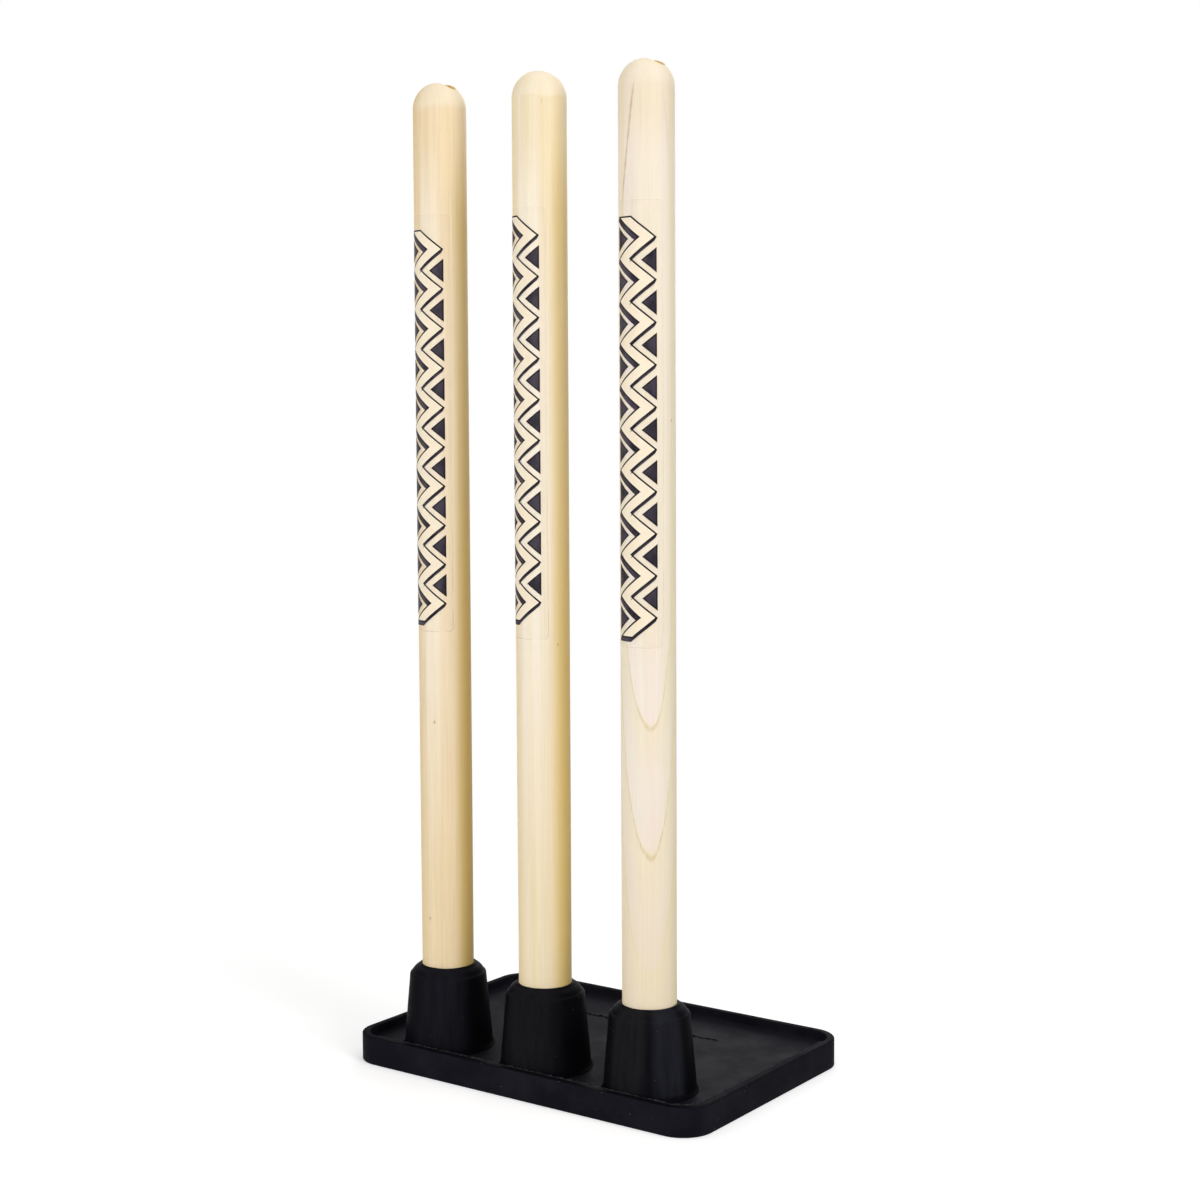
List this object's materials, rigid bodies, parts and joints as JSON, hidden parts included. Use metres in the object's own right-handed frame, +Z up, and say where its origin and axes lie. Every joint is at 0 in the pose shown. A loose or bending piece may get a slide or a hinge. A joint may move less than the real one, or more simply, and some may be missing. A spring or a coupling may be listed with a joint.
{
  "type": "cricket stumps",
  "caption": "Domed wooden cricket stumps pushed into the tapered cups of a heavy black rubber base tray with a raised rim.",
  "frame": {"origin": "middle of the base tray's underside", "axes": "+X along the row of stumps to the right as seen from the labelled side, +Y away from the labelled side, +Z up the stumps"},
  "size_m": [0.302, 0.205, 0.7102],
  "materials": {
    "tray_rubber": "moulded black rubber, dusty satin",
    "cup_rubber": "moulded black rubber, satin",
    "tan_wood": "lacquered pale wood, tan",
    "yellow_wood": "lacquered pale wood, yellow",
    "pale_wood": "lacquered pale wood, cream",
    "label_film": "clear printed film"
  },
  "bodies": {
    "base": {"base_tray": "tray_rubber", "left_cup": "cup_rubber", "middle_cup": "cup_rubber", "right_cup": "cup_rubber"},
    "left_stump_body": {"left_stump": "tan_wood", "left_label": "label_film"},
    "middle_stump_body": {"middle_stump": "yellow_wood", "middle_label": "label_film"},
    "right_stump_body": {"right_stump": "pale_wood", "right_label": "label_film"}
  },
  "joints": [
    {"name": "left_stump_pull_out", "type": "slide", "parent": "base", "child": "left_stump_body", "axis": [0, 0, 1], "range_m": [0, 0.08]},
    {"name": "middle_stump_pull_out", "type": "slide", "parent": "base", "child": "middle_stump_body", "axis": [0, 0, 1], "range_m": [0, 0.08]},
    {"name": "right_stump_pull_out", "type": "slide", "parent": "base", "child": "right_stump_body", "axis": [0, 0, 1], "range_m": [0, 0.08]}
  ]
}
